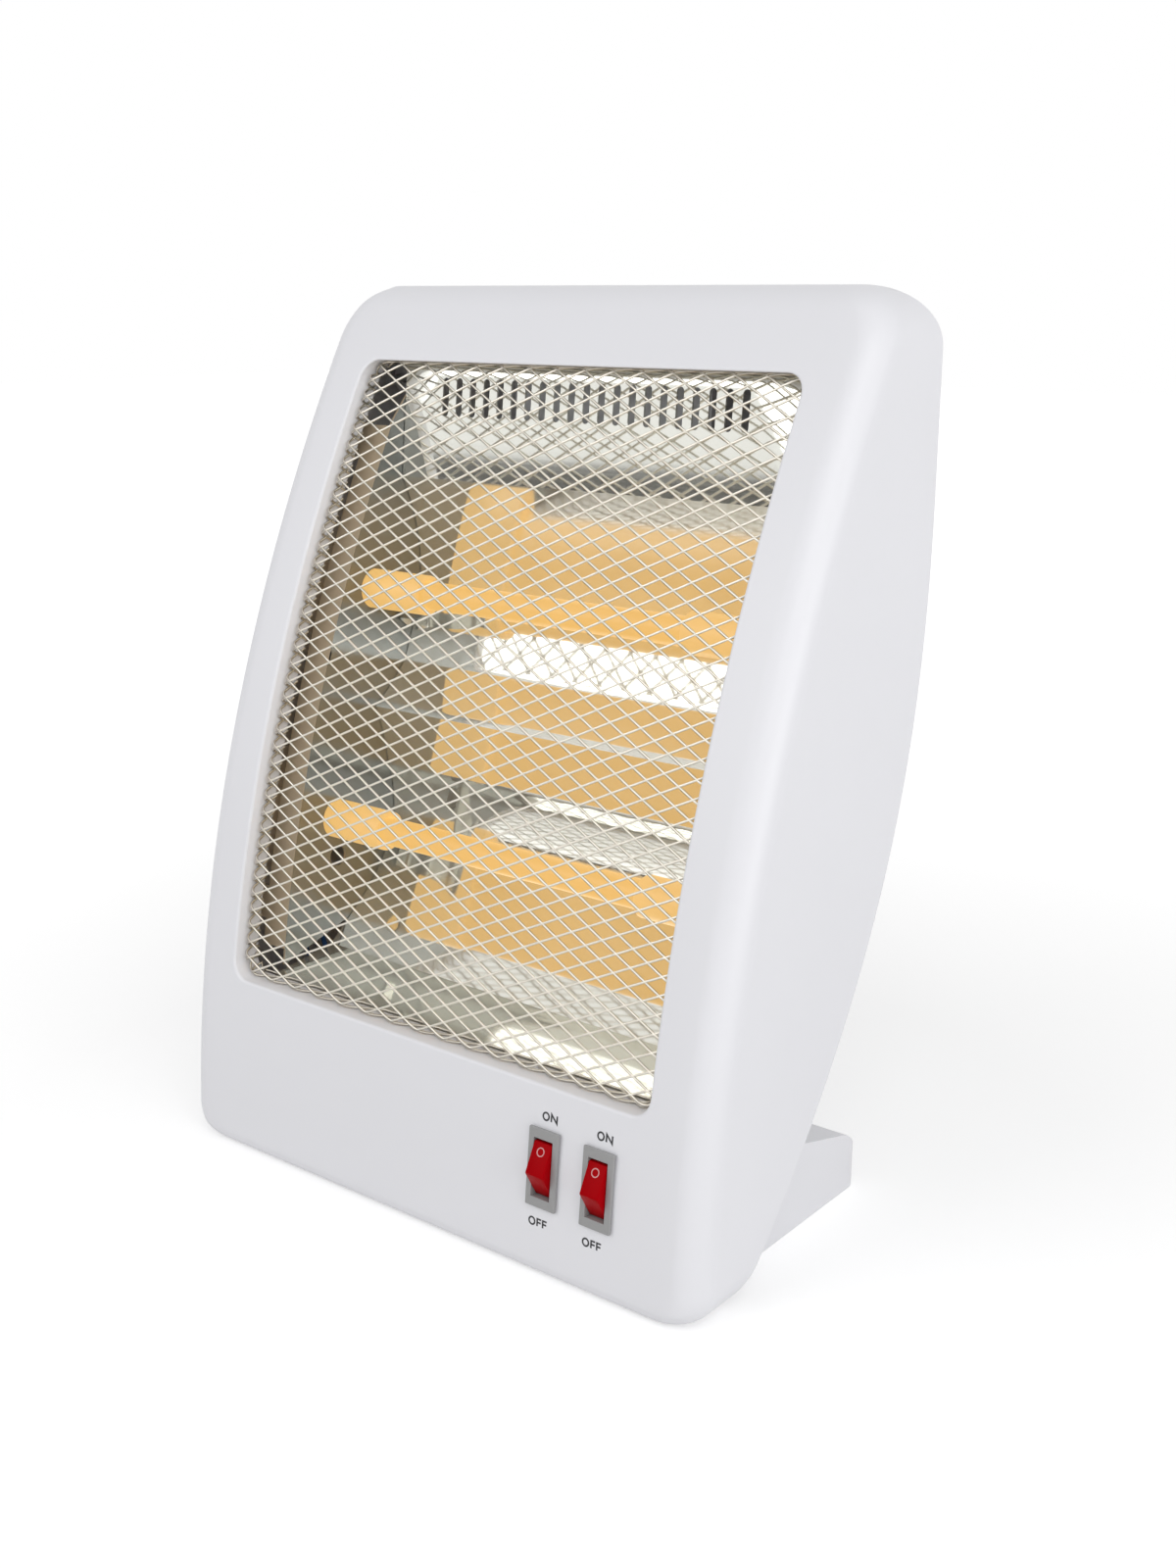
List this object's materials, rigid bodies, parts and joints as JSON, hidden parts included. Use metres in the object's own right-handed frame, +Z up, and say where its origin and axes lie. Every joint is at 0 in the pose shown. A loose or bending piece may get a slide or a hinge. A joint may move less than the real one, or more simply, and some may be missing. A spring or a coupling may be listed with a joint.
{
  "type": "electric bar heater",
  "caption": "Portable bar heater leaning back on a rear foot: glowing quartz tubes in a polished reflector behind a diamond mesh guard, red rocker switches low on the right.",
  "frame": {"origin": "middle of the footprint, at floor level", "axes": "+Z up, the front with guard and switches faces -Y, +X to the right seen from the front"},
  "size_m": [0.2732, 0.1522, 0.362],
  "materials": {
    "white_plastic": "satin",
    "guard_steel": "bright",
    "reflector_steel": "polished",
    "quartz_glass": "frosted, lit orange",
    "heating_wire": "oxidised",
    "ceramic_cap": "matt",
    "spring_steel": "bright",
    "zinc_screw": "zinc plated",
    "switch_grey": "satin",
    "rocker_red": "gloss",
    "brass": "plain",
    "black_plastic": "satin",
    "natural_nylon": "satin",
    "lead_brown": "matt",
    "lead_blue": "matt"
  },
  "bodies": {
    "heater": {"front_shell": "white_plastic", "rear_cover": "white_plastic", "stand_foot": "white_plastic", "guard_mesh": "guard_steel", "reflector": "reflector_steel", "reflector_end_left": "reflector_steel", "reflector_end_right": "reflector_steel", "quartz_tube_upper": "quartz_glass", "quartz_tube_lower": "quartz_glass", "heating_coil_upper": "heating_wire", "heating_coil_lower": "heating_wire", "tube_cap_upper_left": "ceramic_cap", "tube_cap_upper_right": "ceramic_cap", "tube_cap_lower_left": "ceramic_cap", "tube_cap_lower_right": "ceramic_cap", "tube_clip_upper_left": "spring_steel", "tube_clip_upper_right": "spring_steel", "tube_clip_lower_left": "spring_steel", "tube_clip_lower_right": "spring_steel", "plunger_spring": "spring_steel", "housing_screw_1": "zinc_screw", "housing_screw_2": "zinc_screw", "housing_screw_3": "zinc_screw", "housing_screw_4": "zinc_screw", "housing_screw_5": "zinc_screw", "housing_screw_6": "zinc_screw", "reflector_screw_1": "zinc_screw", "reflector_screw_2": "zinc_screw", "reflector_screw_3": "zinc_screw", "reflector_screw_4": "zinc_screw", "foot_screw_1": "zinc_screw", "foot_screw_2": "zinc_screw", "foot_screw_3": "zinc_screw", "foot_screw_4": "zinc_screw", "switch_housing_1": "switch_grey", "switch_housing_2": "switch_grey", "switch_1_blade_lower": "brass", "switch_1_blade_upper": "brass", "switch_2_blade_lower": "brass", "switch_2_blade_upper": "brass", "tilt_switch_body": "black_plastic", "thermal_cutout": "black_plastic", "cord_inlet_bush": "black_plastic", "terminal_block": "natural_nylon", "lead_block_tilt": "lead_brown", "lead_tilt_cutout": "lead_brown", "lead_cutout_switch": "lead_brown", "lead_switch_bridge": "lead_brown", "lead_switch_lower_tube": "lead_brown", "lead_switch_upper_tube": "lead_brown", "lead_return_lower": "lead_blue", "lead_return_upper": "lead_blue"},
    "rocker_left": {"rocker_1": "rocker_red"},
    "rocker_right": {"rocker_2": "rocker_red"},
    "tilt_button": {"tilt_plunger": "natural_nylon"}
  },
  "joints": [
    {"name": "rocker_left_turn", "type": "hinge", "parent": "heater", "child": "rocker_left", "pos_m": [0.06565, -0.06601, 0.04519], "axis": [-1, 0, 0], "range_deg": [0, 14]},
    {"name": "rocker_right_turn", "type": "hinge", "parent": "heater", "child": "rocker_right", "pos_m": [0.09132, -0.06601, 0.04519], "axis": [-1, 0, 0], "range_deg": [0, 14]},
    {"name": "tilt_button_slide", "type": "slide", "parent": "heater", "child": "tilt_button", "axis": [0, 0, -1], "range_m": [0, 0.005], "stiffness_N_per_m": 40, "springref_m": 0.008, "deforming": ["plunger_spring"]}
  ]
}
